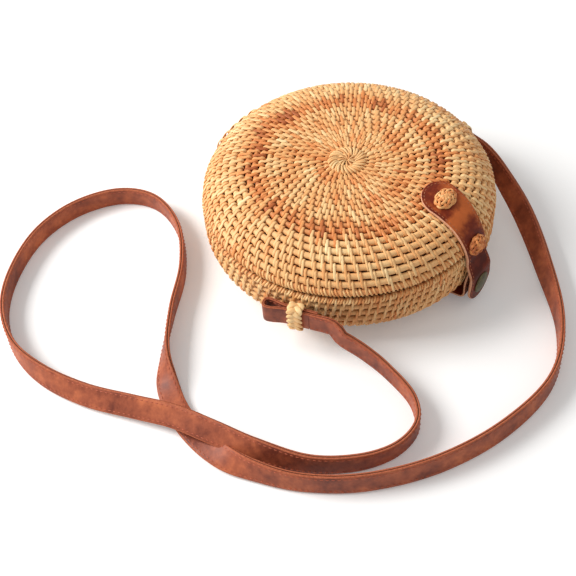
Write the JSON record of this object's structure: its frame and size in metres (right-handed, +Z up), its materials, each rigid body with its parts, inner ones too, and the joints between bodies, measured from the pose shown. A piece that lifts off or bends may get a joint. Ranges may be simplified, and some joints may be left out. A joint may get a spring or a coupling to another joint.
{
  "type": "rattan shoulder bag",
  "caption": "Round coiled rattan shoulder bag with a laced hinge, a leather flap with a snap, and a long leather strap folded through woven side rings.",
  "frame": {"origin": "centre of the flat base face, on the surface the bag lies on", "axes": "+Z up out of the lid, -Y towards the snap flap, +Y towards the lacing hinge, +X to the right seen from the flap"},
  "size_m": [0.3326, 0.3592, 0.0752],
  "materials": {
    "rattan": "straw to honey coloured split cane, slightly glossy, bound over round rods",
    "leather": "red brown cowhide with paler raw edges and stitching along both edges",
    "lining": "plain undyed cotton",
    "snap_metal": "dull antique brass"
  },
  "bodies": {
    "base": {"lower_shell": "rattan", "lower_rim_coil": "rattan", "lower_lining": "lining", "hinge_lacing_lower": "rattan", "catch_tab": "leather", "catch_knot": "rattan", "snap_stud": "snap_metal", "snap_rivet": "snap_metal", "strap_ring_front": "rattan", "strap_ring_back": "rattan", "strap_eye_front": "leather", "strap_eye_back": "leather", "shoulder_strap": "leather"},
    "lid": {"upper_shell": "rattan", "upper_rim_coil": "rattan", "upper_lining": "lining", "hinge_lacing_upper": "rattan", "flap_anchor": "leather", "flap_knot_upper": "rattan", "flap_knot_lower": "rattan"},
    "flap": {"flap_tongue": "leather", "snap_cap": "snap_metal", "snap_socket": "snap_metal"}
  },
  "joints": [
    {"name": "lid_open", "type": "hinge", "parent": "base", "child": "lid", "pos_m": [0, 0.1022, 0.0437], "axis": [-1, 0, 0], "range_deg": [0, 120]},
    {"name": "flap_lift", "type": "hinge", "parent": "lid", "child": "flap", "pos_m": [0, -0.1023, 0.04165], "axis": [-1, 0, 0], "range_deg": [0, 90]}
  ]
}
